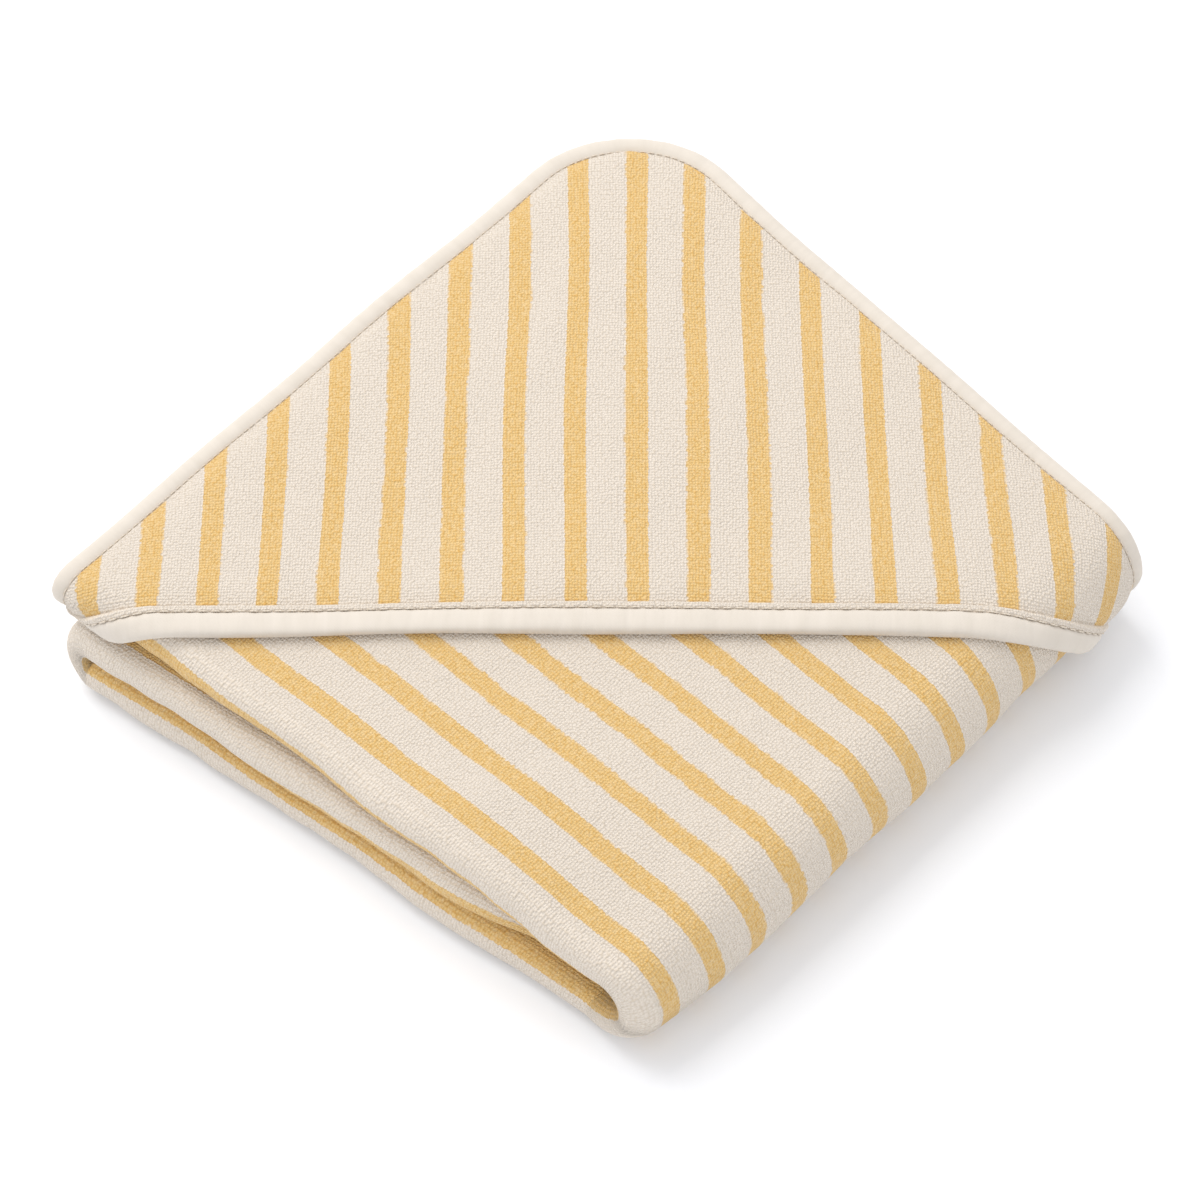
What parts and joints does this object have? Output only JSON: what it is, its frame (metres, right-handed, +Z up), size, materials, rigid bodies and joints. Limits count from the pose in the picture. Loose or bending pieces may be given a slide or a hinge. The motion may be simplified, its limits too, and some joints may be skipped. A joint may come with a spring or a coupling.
{
  "type": "hooded baby towel",
  "caption": "Striped terry towel folded in thirds into a flat square packet, with a bound triangular hood lying across its top corner.",
  "frame": {"origin": "centre of the packet's bounding box in plan, on the surface it lies on", "axes": "+Z up; +Y towards the back bound edge, which the hood corner shares with the left edge at -X; +X towards the spine fold"},
  "size_m": [0.235, 0.26, 0.0464],
  "materials": {
    "cotton_terry": "looped cotton terry, cream with woven yellow stripes, matt",
    "cotton_binding": "plain woven cotton bias tape, cream, matt",
    "sewing_thread": "spun sewing thread, cream"
  },
  "bodies": {
    "lower_half": {"bottom_terry": "cotton_terry", "middle_terry": "cotton_terry", "left_turn_terry": "cotton_terry", "spine_terry_lower": "cotton_terry", "bottom_back_binding": "cotton_binding", "bottom_hem_binding": "cotton_binding", "middle_back_binding": "cotton_binding", "middle_hem_binding": "cotton_binding", "middle_end_binding": "cotton_binding", "left_turn_back_binding": "cotton_binding", "spine_back_binding_lower": "cotton_binding"},
    "upper_half": {"top_terry": "cotton_terry", "spine_terry_upper": "cotton_terry", "top_edge_binding": "cotton_binding", "top_left_binding": "cotton_binding", "top_hem_binding": "cotton_binding", "spine_back_binding_upper": "cotton_binding", "edge_seam": "sewing_thread", "hood_left_tip": "cotton_terry", "hood_right_tip": "cotton_terry"},
    "hood": {"hood_panel": "cotton_terry", "hood_rim_binding": "cotton_binding", "hood_rim_seam": "sewing_thread"}
  },
  "joints": [
    {"name": "fold_open", "type": "hinge", "parent": "lower_half", "child": "upper_half", "pos_m": [0.117, 0, 0.0232], "axis": [0, 1, 0], "range_deg": [0, 180]},
    {"name": "hood_open", "type": "hinge", "parent": "upper_half", "child": "hood", "pos_m": [-0.0981, 0.1106, 0.0415], "axis": [-0.7071, -0.7071, 0], "range_deg": [0, 14]}
  ]
}
